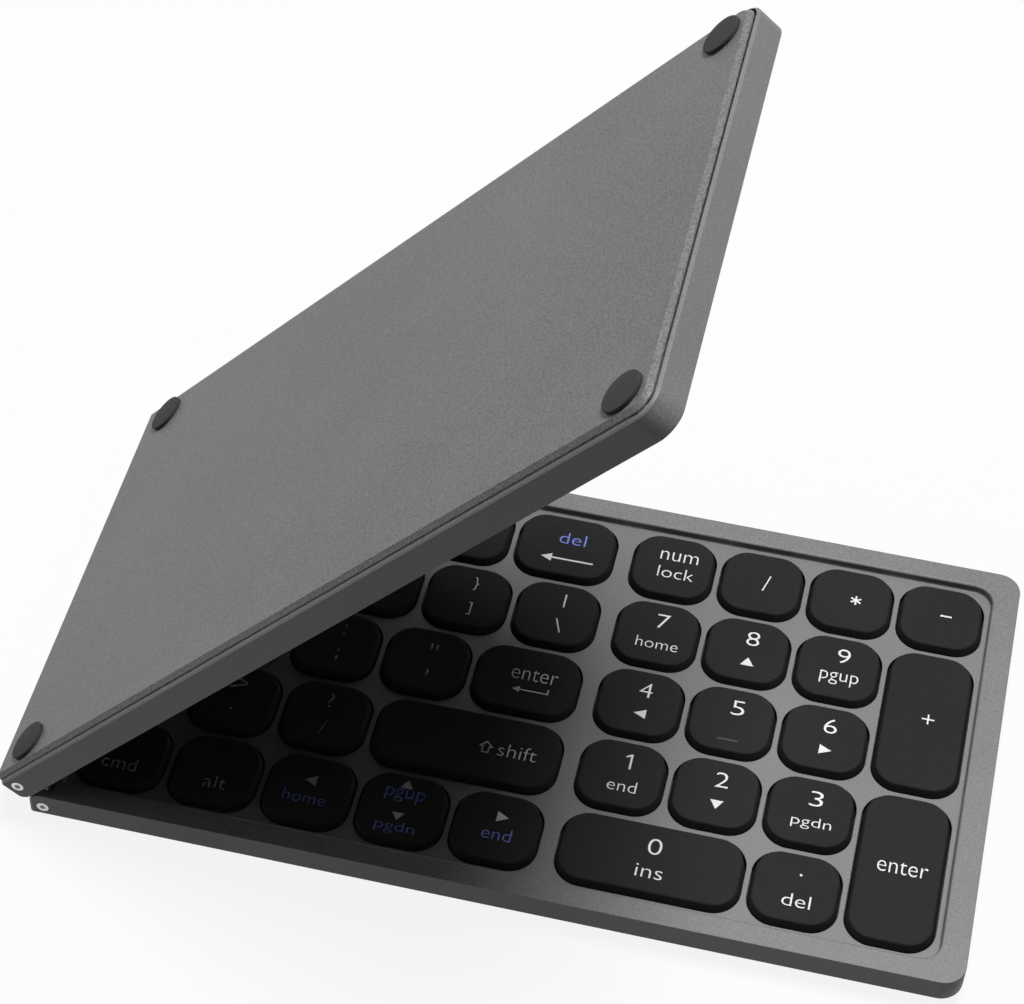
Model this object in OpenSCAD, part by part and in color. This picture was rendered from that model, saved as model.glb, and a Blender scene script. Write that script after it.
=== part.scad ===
// Folding keyboard: two slim aluminium halves joined by a two-pin link hinge.
// Each half is drawn once in its own frame, with the pin axis along Y at the
// origin, the free end towards +X, and the key side towards +Z.

/* [Half shell] */
// Length of one half, from its hinge pin to its free end
half_len = 175.9; // [165:0.1:200]
// Front-to-back depth of the keyboard
depth = 100; // [92:0.1:115]
// Height of the rim above the pin axis
rim_z = 3.35; // [3.1:0.05:4]
// Plan radius of the corners at the free end
corner_r = 4.5; // [4:0.1:7]
// Plan radius of the corners at the hinge end
hinge_corner_r = 0.8; // [0.6:0.1:1.8]
// Chamfer round the underside of the frame
frame_chamfer = 0.45; // [0.2:0.05:0.55]
// Width of the rim along the front and the back
rim_side = 4.5; // [4:0.1:7]
// Width of the rim at the free end
rim_end = 5.2; // [5:0.1:8]
// Plan radius of the corners of the key recess
recess_r = 4; // [3:0.1:5]
// Depth of the key recess below the rim
recess_deep = 1.65; // [1.4:0.05:2]
// Thickness of the web that the keys stand in
deck_t = 0.7; // [0.5:0.05:0.9]
// Thickness of the wall between the key recess and the hinge
end_wall = 1; // [0.8:0.1:1.4]

/* [Cover] */
// Thickness of the pressed cover sheet
cover_t = 0.6; // [0.5:0.05:1]
// How far the cover stands out of the frame
cover_proud = 1.05; // [0.95:0.05:1.3]
// Width and height of the cover's bevel
cover_bevel = 0.8; // [0.4:0.05:0.9]
// Width of the frame's lip round the cover, chamfer included
lip = 0.7; // [0.6:0.05:1]
// Width of the parting gap between lip and cover
parting = 0.35; // [0.15:0.05:0.5]
// How deep the cover's flange sits inside the frame
seat_deep = 0.6; // [0.4:0.05:0.7]
// Height of the space between the cover and the key plate
cavity_h = 1.45; // [1.4:0.05:2.4]

/* [Feet] */
// Radius of a rubber foot
foot_r = 4.1; // [3:0.1:5]
// Height of a rubber foot
foot_h = 0.8; // [0.6:0.1:2.5]
// Distance of a foot's centre from the front and back faces
foot_side = 6.3; // [6:0.1:7]
// Distance of the outer feet from the free end
foot_end = 7.1; // [6.6:0.1:7.8]
// Distance of the hinge-side feet from the pin axis
foot_hinge = 5.25; // [5.2:0.05:12]

/* [Keys] */
// Gap between neighbouring keycaps at their skirts
key_gap = 1.35; // [1.1:0.05:1.8]
// Extra gap between the letter keys and the number pad
pad_gap = 2.25; // [1:0.05:4]
// Gap from the outer keycaps to the recess wall at the free end
end_margin = 1.3; // [0.5:0.05:1.6]
// Gap from the outer keycaps to the recess wall at the front and back
side_margin = 1.45; // [0.9:0.05:2]
// Gap from the inner keycaps to the wall at the hinge
hinge_margin = 0.55; // [0.4:0.05:1.5]
// Plan radius of a keycap's corners at its skirt
key_r = 5.4; // [3:0.1:6]
// How far each side of a keycap leans in
key_lean = 0.65; // [0.3:0.05:0.8]
// Distance of the keycap tops below the rim
key_drop = 0.15; // [0.1:0.05:0.6]
// How far the keycap skirts reach below the top of the web
key_sink = 1.25; // [1.1:0.05:1.4]
// Wall and roof thickness of a keycap
key_wall = 1; // [0.7:0.05:1.1]
// Key travel
travel = 1.2; // [0.8:0.05:1.25]
// Width of the backspace key, in key pitches
backspace_u = 1.185; // [1:0.005:1.3]
// Width of the enter key, in key pitches
enter_u = 1.226; // [1:0.005:1.3]
// Width of the right shift key, in key pitches
shift_u = 2.082; // [1.9:0.005:2.15]
// Width of the space bar, in key pitches
space_u = 5.1; // [4.8:0.05:5.2]

/* [Key switches] */
// Thickness of the steel plate under the keys
plate_t = 0.3; // [0.2:0.05:0.4]
// Thickness of the membrane circuit
membrane_t = 0.25; // [0.15:0.05:0.35]
// Radius of a rubber dome at its foot
dome_r = 2.6; // [2:0.1:2.8]
// Radius of a rubber dome at its top
dome_top_r = 1.4; // [1:0.1:1.8]
// Length of a scissor arm
arm_len = 8.6; // [7:0.1:9]
// Width of the outer scissor frame
scissor_w = 10; // [9:0.1:11]
// Width of the bars that a scissor frame is made of
arm_bar = 0.8; // [0.5:0.05:0.9]
// Thickness of a scissor frame
arm_t = 0.6; // [0.4:0.05:0.8]
// Radius of a stabiliser wire
wire_r = 0.35; // [0.25:0.05:0.4]

/* [Hinge] */
// How far the lid stands open from closed, in degrees
lid_open = 49; // [30:1:70]
// Share of the lid's opening that the link has turned through, in degrees
link_open = 41.5; // [25:0.1:46]
// Half thickness of the hinge link
link_r = 1.5; // [1.4:0.05:1.6]
// Gap between the link and the frames
link_gap = 0.3; // [0.25:0.05:0.4]
// Radius of the rounded ear at the hinge end of a frame
ear_r = 2.75; // [2.4:0.05:3]
// Thickness of a frame's ear
ear_t = 1.9; // [1.6:0.1:2.4]
// Distance of the link's ends from the front and back faces
link_inset = 5.2; // [4.8:0.1:8]
// Gap between the two rims when the keyboard is closed
closed_gap = 0.1; // [0.1:0.05:0.3]
// Radius of a hinge pin
pin_r = 0.6; // [0.5:0.05:0.8]
// Radius of a hinge pin's head
pin_head_r = 1.2; // [1.15:0.05:1.4]
// Thickness of a hinge pin's head
pin_head_t = 0.8; // [0.7:0.05:1]
// Radius of the hexagon socket in a hinge pin's head
drive_r = 0.6; // [0.5:0.05:0.7]
// Gap round a hinge pin's head
head_clear = 0.12; // [0.05:0.01:0.2]
// Running clearance between a pin and an ear
pin_clear = 0.03; // [0.02:0.01:0.06]
// Length of pin inside the link
pin_grip = 5; // [3:0.1:8]
// Number of friction washers at each pin
washers = 2; // [1:1:4]
// Radius of a friction washer
washer_r = 1.25; // [1.15:0.05:1.5]
// Thickness of a friction washer
washer_t = 0.45; // [0.3:0.05:0.5]

/* [Electronics] */
// Battery length, width and thickness
battery_size = [72, 52, 1.3];
// Battery's distance from the hinge
battery_x = 64; // [60:1:80]
// Circuit board's distance from the hinge
board_x = 6.5; // [6:0.5:12]
// Circuit board length along the keyboard
board_len = 42; // [36:1:50]
// Circuit board thickness
board_t = 0.6; // [0.4:0.05:0.7]
// Height of the chips under the board
chip_h = 0.45; // [0.3:0.05:0.5]
// Charging socket's distance from the hinge
socket_x = 28; // [22:0.5:36]
// Width of the charging socket
socket_w = 7.5; // [7:0.1:8.5]
// Height of the charging socket
socket_h = 2.45; // [2.2:0.05:2.6]
// Thickness of the socket's metal shell
socket_wall = 0.3; // [0.2:0.05:0.4]
// Width of the flat cable through the hinge
flex_w = 14; // [8:0.5:20]
// Thickness of the flat cable
flex_t = 0.2; // [0.1:0.05:0.25]

/* [Fasteners and magnets] */
// Radius of a cover screw's shank
screw_r = 0.6; // [0.5:0.05:0.7]
// Radius of a cover screw's head
screw_head_r = 1; // [0.9:0.05:1.2]
// Radius of the boss that takes a cover screw
boss_r = 1.3; // [1.1:0.05:1.5]
// Distance of the screws from the front and back faces
screw_side = 4.2; // [4:0.1:4.4]
// Distance of the outer screws from the free end
screw_end = 4.9; // [4.7:0.1:5.1]
// Radius of a closing magnet
magnet_r = 1.3; // [1:0.05:1.4]
// Height of a closing magnet
magnet_h = 1.6; // [1:0.1:2.5]
// Metal left over a magnet at the rim
magnet_skin = 0.65; // [0.4:0.05:1]
// Distance between the two magnets of a half
magnet_span = 40; // [20:1:70]

/* [Hidden] */
$fn = 48;
EPS = 0.01;
SLIDE_FIT = 0.15;
GLUE_FIT = 0.03;
THREAD_FIT = 0.02;

// heights in a half, from the pin axis
deck_top = rim_z - recess_deep;
deck_bot = deck_top - deck_t;
key_top = rim_z - key_drop;
skirt_z = deck_top - key_sink;
membrane_top = skirt_z - travel - SLIDE_FIT;
plate_top = membrane_top - membrane_t;
plate_bot = plate_top - plate_t;
cover_in = plate_bot - cavity_h;
cover_z = cover_in - cover_t;
frame_bot = cover_z + cover_proud;
seat_z = frame_bot + seat_deep;

// plan of a half
swing_r = link_r + link_gap;
recess_x = swing_r + end_wall;
first_x = recess_x + hinge_margin;
last_x = half_len - rim_end - end_margin;
pad_cols = 4;
letter_cols = 5;
pitch_x = (last_x - first_x + key_gap - pad_gap) / (pad_cols + letter_cols);
pitch_y = (depth - 2 * rim_side - 2 * side_margin + key_gap) / 5;
key_w = pitch_x - key_gap;
key_d = pitch_y - key_gap;
pad_x = last_x - pad_cols * pitch_x + key_gap;
main_x = pad_x - key_gap - pad_gap;
lower_inset = 2.6;
upper_inset = screw_side + screw_r + 0.1;
pan_inset = lip + parting + 2.15;

// hinge
pin_gap = 2 * rim_z + closed_gap;
link_turn = 90 + link_open;
lid_pin = [pin_gap * cos(link_turn), 0, pin_gap * sin(link_turn)];
washer_play = 0.06;
pin_end = link_inset + pin_grip;
flex_z = seat_z + 0.1;
flex_end = board_x + 3;

// row frame: the object's lowest point is z = 0, and its box is centred in x and y
cover_corner = [-ear_r, -cover_z];
foot_corner = [foot_hinge - foot_r, -cover_z + foot_h];
lid_reach = max([for (c = [cover_corner, foot_corner]) -c[0] * cos(lid_open) + c[1] * sin(lid_open)]);
box_left = lid_pin[0] - lid_reach;
origin_x = (box_left + half_len) / 2;
origin_z = cover_z - foot_h;

// feet, screws and magnets of one half
FEET = [for (x = [foot_hinge, half_len - foot_end], y = [foot_side, depth - foot_side]) [x, y]];
SCREWS = [for (x = [foot_hinge - 0.6, half_len - screw_end], y = [screw_side, depth - screw_side]) [x, y]];
MAGNETS = [for (s = [-1, 1]) [half_len - rim_end + magnet_r + 0.4, depth / 2 + s * magnet_span / 2]];

// key rectangles [x, y, width, depth]
function row_y(r) = rim_side + side_margin + r * pitch_y;
function sum_to(v, n) = n <= 0 ? 0 : v[n - 1] + sum_to(v, n - 1);

// letter keys of the base run from the number pad to the hinge; the last one of a row fills it
LETTER_RUNS = [[1, 1, 1, 1], [shift_u, 1, 1], [enter_u, 1, 1, 1], [1, 1, 1, 1], [backspace_u, 1, 1, 1]];
function letter_right(r, i) = main_x - sum_to(LETTER_RUNS[r], i) * pitch_x;
function letter_left(r, i) = i < len(LETTER_RUNS[r]) ? letter_right(r, i + 1) + key_gap : first_x;
function letter_key(r, i) = [letter_left(r, i), row_y(r), letter_right(r, i) - letter_left(r, i), key_d];
function letter_row(r, from) = [for (i = [from:len(LETTER_RUNS[r])]) letter_key(r, i)];

// number pad keys by column, row and span
function pad_key(c, r, w = 1, d = 1) =
    [pad_x + c * pitch_x, row_y(r), w * pitch_x - key_gap, d * pitch_y - key_gap];
PAD_KEYS = concat(
    [pad_key(0, 0, 2), pad_key(2, 0), pad_key(3, 0, 1, 2), pad_key(3, 2, 1, 2)],
    [for (c = [0:2], r = [1:3]) pad_key(c, r)],
    [for (c = [0:3]) pad_key(c, 4)]);

// lid keys run from the hinge to the free end; the last one of a row fills it
LID_RUNS = [[space_u, 1, 1, 1], [1, 1, 1, 1, 1, 1, 1], [1, 1, 1, 1, 1, 1, 1],
    [1, 1, 1, 1, 1, 1, 1, 1], [1, 1, 1, 1, 1, 1, 1, 1]];
function lid_left(r, i) = first_x + sum_to(LID_RUNS[r], i) * pitch_x;
function lid_right(r, i) = i < len(LID_RUNS[r]) ? lid_left(r, i + 1) - key_gap : last_x;
function lid_row(r) = [for (i = [0:len(LID_RUNS[r])]) [lid_left(r, i), row_y(r), lid_right(r, i) - lid_left(r, i), key_d]];

BASE_KEYS = concat(PAD_KEYS, [for (r = [0:4]) each letter_row(r, 0)]);
LID_KEYS = [for (r = [0:4]) each lid_row(r)];

ALUMINIUM = "#6d6d70";
PLASTIC = "#2b2b2d";
RUBBER = "#1f2021";
STEEL = "#b9bbbe";

// ---- placing -----------------------------------------------------------
module row_frame() translate([-origin_x, -depth / 2, -origin_z]) children();
module in_base() row_frame() children();
module in_link() row_frame() rotate([0, -link_turn, 0]) children();
module in_lid() row_frame() translate(lid_pin) rotate([0, -lid_open, 0]) mirror([0, 0, 1]) children();
module along_y(from, to) translate([0, to, 0]) rotate([90, 0, 0]) linear_extrude(to - from) children();

// ---- shapes ------------------------------------------------------------
// block with rounded corners; its sides lean in by `lean` from bottom to top
module leaning_block(w, d, r, h, lean) {
    for (x = [r, w - r], y = [r, d - r]) translate([x, y, 0]) cylinder(h = h, r1 = r, r2 = r - lean);
    translate([r, 0, 0]) rotate([90, 0, 90]) linear_extrude(w - 2 * r)
        polygon([[0, 0], [d, 0], [d - lean, h], [lean, h]]);
    along_y(r, d - r) polygon([[0, 0], [w, 0], [w - lean, h], [lean, h]]);
}

// plan outline of a half, inset from its front, back and free end, from x0 on
module plan(x0, inset, ra, rb) {
    x1 = half_len - inset;
    y0 = inset;
    y1 = depth - inset;
    for (y = [y0 + ra, y1 - ra]) translate([x0 + ra, y]) circle(ra);
    for (y = [y0 + rb, y1 - rb]) translate([x1 - rb, y]) circle(rb);
    translate([x0 + ra, y0]) square([x1 - rb - x0 - ra, y1 - y0]);
    translate([x0, y0 + ra]) square([x1 - rb - x0, y1 - y0 - 2 * ra]);
    translate([x0 + ra, y0 + rb]) square([x1 - x0 - ra, y1 - y0 - 2 * rb]);
}

// the same outline as a slab of height h, with its lower edge bevelled by c
module bevel_slab(x0, inset, ra, rb, c, h) {
    x1 = half_len - inset;
    y0 = inset;
    y1 = depth - inset;
    for (y = [y0 + ra, y1 - ra]) translate([x0 + ra, y, 0]) bevel_post(ra, c, h);
    for (y = [y0 + rb, y1 - rb]) translate([x1 - rb, y, 0]) bevel_post(rb, c, h);
    translate([x0 + ra, 0, 0]) rotate([90, 0, 90]) linear_extrude(x1 - rb - x0 - ra)
        polygon([[y0 + c, 0], [y1 - c, 0], [y1, c], [y1, h], [y0, h], [y0, c]]);
    along_y(y0 + ra, y1 - ra) polygon([[x0 + c, 0], [x1 - rb, 0], [x1 - rb, h], [x0, h], [x0, c]]);
    along_y(y0 + rb, y1 - rb) polygon([[x0 + ra, 0], [x1 - c, 0], [x1, c], [x1, h], [x0 + ra, h]]);
}
module bevel_post(r, c, h) rotate_extrude() polygon([[0, 0], [r - c, 0], [r, c], [r, h], [0, h]]);

module keycap_outline(k, grow) {
    r = key_r + grow;
    for (x = [key_r, k[2] - key_r], y = [key_r, k[3] - key_r]) translate([k[0] + x, k[1] + y]) circle(r);
    translate([k[0] + key_r, k[1] - grow]) square([k[2] - 2 * key_r, k[3] + 2 * grow]);
    translate([k[0] - grow, k[1] + key_r]) square([k[2] + 2 * grow, k[3] - 2 * key_r]);
}

// ---- frame and cover ---------------------------------------------------
module side_profile() {
    translate([0, rim_z - ear_r]) circle(ear_r);
    translate([0, frame_bot]) square([half_len, rim_z - frame_bot]);
    translate([-ear_r, frame_bot]) square([half_len, rim_z - ear_r - frame_bot]);
}

module half_frame(keys) {
    difference() {
        intersection() {
            translate([0, 0, frame_bot]) bevel_slab(-ear_r, 0, hinge_corner_r, corner_r, frame_chamfer, rim_z - frame_bot);
            along_y(0, depth) side_profile();
        }
        // room for the link between the ears
        translate([-ear_r - 1, ear_t, frame_bot - 1]) cube([ear_r + 1 + swing_r, depth - 2 * ear_t, rim_z - frame_bot + 2]);
        // key recess
        translate([0, 0, deck_top]) linear_extrude(recess_deep + 1) recess_plan();
        // key windows
        translate([0, 0, deck_bot - 1]) for (k = keys) linear_extrude(deck_t + 2) keycap_outline(k, SLIDE_FIT);
        // cover seat, then the cavities for the key plate and the membrane
        translate([0, 0, frame_bot - 1]) linear_extrude(seat_deep + 1) plan(-ear_r - 1, lip, EPS * 10, corner_r - lip);
        difference() {
            translate([0, 0, seat_z - EPS]) linear_extrude(plate_top - seat_z + EPS) plan(recess_x, lower_inset, EPS * 10, corner_r - lower_inset);
            screw_bosses();
        }
        translate([0, 0, plate_top - EPS]) linear_extrude(deck_bot - plate_top + EPS)
            translate([recess_x, upper_inset]) square([half_len - rim_end - recess_x - 0.2, depth - 2 * upper_inset]);
        // pin bores with head counterbores
        along_y(-1, ear_t + 1) circle(pin_r + pin_clear);
        along_y(depth - ear_t - 1, depth + 1) circle(pin_r + pin_clear);
        along_y(-1, pin_head_t + pin_clear) circle(pin_head_r + head_clear);
        along_y(depth - pin_head_t - pin_clear, depth + 1) circle(pin_head_r + head_clear);
        // tapped screw holes and magnet bores
        for (s = SCREWS) translate([s[0], s[1], cover_in - 1]) cylinder(h = plate_top + 0.8 - cover_in + 1, r = screw_r);
        for (m = MAGNETS) translate([m[0], m[1], seat_z]) cylinder(h = rim_z - magnet_skin - seat_z, r = magnet_r + GLUE_FIT);
        // way out for the flat cable
        translate([0, (depth - flex_w) / 2 - 1, flex_z - 0.2]) cube([recess_x + 1, flex_w + 2, flex_t + 0.35]);
    }
    difference() {
        screw_bosses();
        for (s = SCREWS) translate([s[0], s[1], cover_in - 1]) cylinder(h = plate_top - cover_in + 3, r = screw_r);
    }
}

module recess_plan() {
    translate([recess_x, rim_side]) square([half_len - rim_end - recess_r - recess_x, depth - 2 * rim_side]);
    translate([recess_x, rim_side + recess_r]) square([half_len - rim_end - recess_x, depth - 2 * rim_side - 2 * recess_r]);
    for (y = [rim_side + recess_r, depth - rim_side - recess_r])
        translate([half_len - rim_end - recess_r, y]) circle(recess_r);
}

module screw_bosses() for (s = SCREWS) translate([s[0], s[1], cover_in]) cylinder(h = plate_top + 0.05 - cover_in, r = boss_r);

module half_cover() {
    edge = lip + parting;
    flat_r = corner_r - edge;
    difference() {
        translate([0, 0, cover_z]) bevel_slab(-ear_r - 2, edge, cover_bevel + 0.2, flat_r, cover_bevel, seat_z - cover_z);
        // cut square, flush with the ears, at the hinge
        translate([-ear_r - 3, -1, cover_z - 1]) cube([3, depth + 2, seat_z - cover_z + 2]);
        translate([0, 0, cover_in]) linear_extrude(seat_z - cover_in + 1) plan(swing_r + 0.6, pan_inset, 0.5, 1.2);
        along_y(0, depth) circle(swing_r);
        for (s = SCREWS) translate([s[0], s[1], cover_z]) {
            translate([0, 0, -1]) cylinder(h = cover_t + 2, r = screw_r + 0.1);
            translate([0, 0, -EPS]) cylinder(h = cover_t - 0.1, r1 = screw_head_r, r2 = screw_r + 0.1);
            translate([0, 0, cover_t]) cylinder(h = seat_z - cover_in + 1, r = boss_r + SLIDE_FIT);
        }
    }
}

module half_feet() for (f = FEET) translate([f[0], f[1], cover_z - foot_h])
    rotate_extrude() polygon([[0, 0], [foot_r - 0.25, 0], [foot_r, 0.25], [foot_r, foot_h], [0, foot_h]]);

module half_screws() for (s = SCREWS) translate([s[0], s[1], cover_z]) {
    difference() {
        cylinder(h = cover_t - 0.1, r1 = screw_head_r - THREAD_FIT, r2 = screw_r - THREAD_FIT);
        translate([0, 0, -1]) cylinder(h = 1.25, r = screw_r * 0.6, $fn = 6);
    }
    translate([0, 0, cover_t - 0.1 - EPS]) cylinder(h = plate_top + 0.6 - cover_in, r = screw_r - THREAD_FIT);
}

module half_magnets() for (m = MAGNETS)
    translate([m[0], m[1], rim_z - magnet_skin - magnet_h]) cylinder(h = magnet_h, r = magnet_r);

// ---- key switches ------------------------------------------------------
module keycap(k) difference() {
    h = key_top - skirt_z;
    roof = h - key_wall;
    translate([k[0], k[1], skirt_z]) leaning_block(k[2], k[3], key_r, h, key_lean);
    translate([k[0] + key_wall, k[1] + key_wall, skirt_z - EPS])
        leaning_block(k[2] - 2 * key_wall, k[3] - 2 * key_wall, key_r - key_wall, roof + EPS, key_lean * roof / h);
}

module keycaps(keys) for (k = keys) keycap(k);

module half_plate() difference() {
    translate([0, 0, plate_bot]) linear_extrude(plate_t) plan(recess_x + 0.2, lower_inset + 0.2, 0.3, corner_r - lower_inset - 0.2);
    for (s = SCREWS) translate([s[0], s[1], plate_bot - 1]) cylinder(h = plate_t + 2, r = boss_r + 0.2);
}

module half_membrane() translate([recess_x + 0.3, upper_inset + 0.2, plate_top])
    cube([half_len - rim_end - recess_x - 0.7, depth - 2 * upper_inset - 0.4, membrane_t]);

module dome(k) {
    h = key_top - key_wall - membrane_top;
    wall = 0.5;
    translate([k[0] + k[2] / 2, k[1] + k[3] / 2, membrane_top]) rotate_extrude()
        polygon([[0, h], [dome_top_r, h], [dome_top_r, h * 0.7], [dome_r, 0.3], [dome_r, 0], [dome_r - wall, 0],
            [dome_r - wall, 0.3], [dome_top_r - wall, h * 0.7], [0, h * 0.7]]);
}

// two crossed frames, each tilted so that it reaches from the membrane to the cap
module scissor(k) {
    room = key_top - key_wall - membrane_top - 0.1;
    tilt = asin((room - arm_t) / arm_len);
    across = k[3] > k[2] ? 90 : 0;
    inner_w = scissor_w - 2 * arm_bar - 0.6;
    translate([k[0] + k[2] / 2, k[1] + k[3] / 2, (key_top - key_wall + membrane_top) / 2]) rotate(across) {
        rotate([0, tilt, 0]) arm_ring(scissor_w);
        rotate([0, -tilt, 0]) arm_ring(inner_w);
        for (s = [-1, 1]) translate([0, s * (inner_w / 2 + 0.1), 0]) rotate([90, 0, 0])
            cylinder(h = 0.3, r = arm_t / 3, center = true);
    }
}

module arm_ring(w) difference() {
    cube([arm_len - arm_t, w, arm_t], center = true);
    cube([arm_len - arm_t - 2 * arm_bar, w - 2 * arm_bar, arm_t + 1], center = true);
}

// bent wire that keeps a long key level: a bar under the cap and an arm down to the plate at each end
module stabiliser(k) {
    tall = k[3] > k[2];
    long = max(k[2], k[3]) - 2 * (key_wall + key_r);
    bar_z = key_top - key_wall - wire_r;
    foot_z = membrane_top + wire_r;
    side = min(k[2], k[3]) / 2 - key_wall - key_lean - wire_r - 0.3;
    translate([k[0] + k[2] / 2, k[1] + k[3] / 2, 0]) rotate(tall ? 90 : 0) {
        wire([-long / 2, side, bar_z], [long / 2, side, bar_z]);
        for (s = [-1, 1]) wire([s * long / 2, side, bar_z], [s * long / 2, side - 4, foot_z]);
    }
}

module wire(a, b) {
    v = b - a;
    l = norm(v);
    translate(a) rotate([0, acos(v[2] / l), atan2(v[1], v[0])]) cylinder(h = l, r = wire_r);
    translate(a) sphere(wire_r);
    translate(b) sphere(wire_r);
}

module switches(keys) for (k = keys) {
    scissor(k);
    if (max(k[2], k[3]) > 1.7 * key_w) stabiliser(k);
}

// ---- electronics -------------------------------------------------------
board_top = cover_in + chip_h + board_t;

module board() {
    back = depth - pan_inset - 0.2;
    translate([board_x, depth * 0.4, cover_in + chip_h]) cube([board_len, back - depth * 0.4, board_t]);
    for (c = [[6, 8, 9, 9], [22, 6, 7, 7], [12, 26, 12, 6], [30, 24, 5, 12]])
        translate([board_x + c[0], depth * 0.4 + c[1], cover_in]) cube([c[2], c[3], chip_h + EPS]);
}

// the socket's shell section, wide at the top, grown on every side
module socket_section(grow) polygon([
    [-socket_w / 2 - grow, socket_h + grow], [socket_w / 2 + grow, socket_h + grow],
    [socket_w / 2 + grow, socket_h * 0.45], [socket_w / 2 - socket_h * 0.4, -grow],
    [-socket_w / 2 + socket_h * 0.4, -grow], [-socket_w / 2 - grow, socket_h * 0.45]]);

module socket_bar(from, to, grow) translate([socket_x, 0, board_top]) along_y(from, to) socket_section(grow);

module socket() difference() {
    back = depth - upper_inset + SLIDE_FIT;
    socket_bar(back, depth - 0.1, 0);
    difference() {
        socket_bar(back + 0.8, depth + 1, -socket_wall);
        translate([socket_x - socket_w * 0.3, back, board_top + socket_h / 2])
            cube([socket_w * 0.6, upper_inset - 1.3, 0.6]);
    }
}

module half_flex(start) translate([start, (depth - flex_w) / 2, flex_z]) cube([flex_end - start, flex_w, flex_t]);

// ---- sub-parts ---------------------------------------------------------
module base_frame() color(ALUMINIUM) in_base() difference() {
    half_frame(BASE_KEYS);
    socket_bar(depth - upper_inset, depth + 1, GLUE_FIT);
}
module base_cover() color(ALUMINIUM) in_base() half_cover();
module base_feet() color(RUBBER) in_base() half_feet();
module base_screws() color(STEEL) in_base() half_screws();
module base_key_plate() color(STEEL) in_base() difference() {
    half_plate();
    translate([socket_x - socket_w / 2 - 0.2, depth - upper_inset, plate_bot - 1]) cube([socket_w + 0.4, upper_inset, 3]);
}
module base_membrane() color("#2a2a2c") in_base() half_membrane();
module base_domes() color("#d8d4cc") in_base() for (k = BASE_KEYS) dome(k);
module base_scissors() color("#e6e6e2") in_base() switches(BASE_KEYS);
module battery() color("#8f9499") in_base()
    translate([battery_x, (depth - battery_size[1]) / 2, cover_in]) cube(battery_size);
module circuit_board() color("#1f5a3c") in_base() board();
module charging_socket() color(STEEL) in_base() socket();
module base_magnets() color("#9a9ca0") in_base() half_magnets();
module flat_cable_base() color("#b8662a") in_base() half_flex(1.1);

module hinge_link() color("#58585b") in_link() difference() {
    along_y(link_inset, depth - link_inset) union() {
        circle(link_r);
        translate([pin_gap, 0]) circle(link_r);
        translate([0, -link_r]) square([pin_gap, 2 * link_r]);
    }
    for (x = [0, pin_gap]) translate([x, 0, 0]) {
        along_y(0, pin_end + 0.2) circle(pin_r);
        along_y(depth - pin_end - 0.2, depth) circle(pin_r);
    }
    translate([-link_r - 1, (depth - flex_w) / 2 - 0.3, -flex_t / 2 - 0.1])
        cube([pin_gap + 2 * link_r + 2, flex_w + 0.6, flex_t + 0.2]);
}

module pin() difference() {
    union() {
        along_y(0, pin_head_t) circle(pin_head_r);
        along_y(pin_head_t - EPS, pin_end) circle(pin_r);
    }
    along_y(-1, pin_head_t - 0.15) circle(drive_r, $fn = 6);
}
module hinge_pins() color(STEEL) in_link() for (x = [0, pin_gap]) translate([x, 0, 0]) {
    pin();
    translate([0, depth, 0]) mirror([0, 1, 0]) pin();
}

// washers on the pin, next to the ear
module washer_stack() for (i = [0:washers - 1]) translate([0, ear_t + i * (washer_t + washer_play) + washer_play / 2, 0])
    along_y(0, washer_t) difference() {
        circle(washer_r);
        circle(pin_r + pin_clear);
    }
module friction_washers() color(STEEL) in_link() for (x = [0, pin_gap]) translate([x, 0, 0]) {
    washer_stack();
    translate([0, depth, 0]) mirror([0, 1, 0]) washer_stack();
}

module flat_cable_link() color("#b8662a") in_link()
    translate([-link_r, (depth - flex_w) / 2, -flex_t / 2]) cube([pin_gap + 2 * link_r, flex_w, flex_t]);

module lid_frame() color(ALUMINIUM) in_lid() half_frame(LID_KEYS);
module lid_cover() color(ALUMINIUM) in_lid() half_cover();
module lid_feet() color(RUBBER) in_lid() half_feet();
module lid_screws() color(STEEL) in_lid() half_screws();
module lid_key_plate() color(STEEL) in_lid() half_plate();
module lid_membrane() color("#2a2a2c") in_lid() half_membrane();
module lid_domes() color("#d8d4cc") in_lid() for (k = LID_KEYS) dome(k);
module lid_scissors() color("#e6e6e2") in_lid() switches(LID_KEYS);
module lid_magnets() color("#9a9ca0") in_lid() half_magnets();
module flat_cable_lid() color("#b8662a") in_lid() half_flex(0.3);

// number pad, one key each
module key_num_lock() color(PLASTIC) in_base() keycap(pad_key(0, 4));
module key_divide() color(PLASTIC) in_base() keycap(pad_key(1, 4));
module key_multiply() color(PLASTIC) in_base() keycap(pad_key(2, 4));
module key_minus() color(PLASTIC) in_base() keycap(pad_key(3, 4));
module key_7() color(PLASTIC) in_base() keycap(pad_key(0, 3));
module key_8() color(PLASTIC) in_base() keycap(pad_key(1, 3));
module key_9() color(PLASTIC) in_base() keycap(pad_key(2, 3));
module key_plus() color(PLASTIC) in_base() keycap(pad_key(3, 2, 1, 2));
module key_4() color(PLASTIC) in_base() keycap(pad_key(0, 2));
module key_5() color(PLASTIC) in_base() keycap(pad_key(1, 2));
module key_6() color(PLASTIC) in_base() keycap(pad_key(2, 2));
module key_1() color(PLASTIC) in_base() keycap(pad_key(0, 1));
module key_2() color(PLASTIC) in_base() keycap(pad_key(1, 1));
module key_3() color(PLASTIC) in_base() keycap(pad_key(2, 1));
module key_pad_enter() color(PLASTIC) in_base() keycap(pad_key(3, 0, 1, 2));
module key_0() color(PLASTIC) in_base() keycap(pad_key(0, 0, 2));
module key_point() color(PLASTIC) in_base() keycap(pad_key(2, 0));

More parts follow.
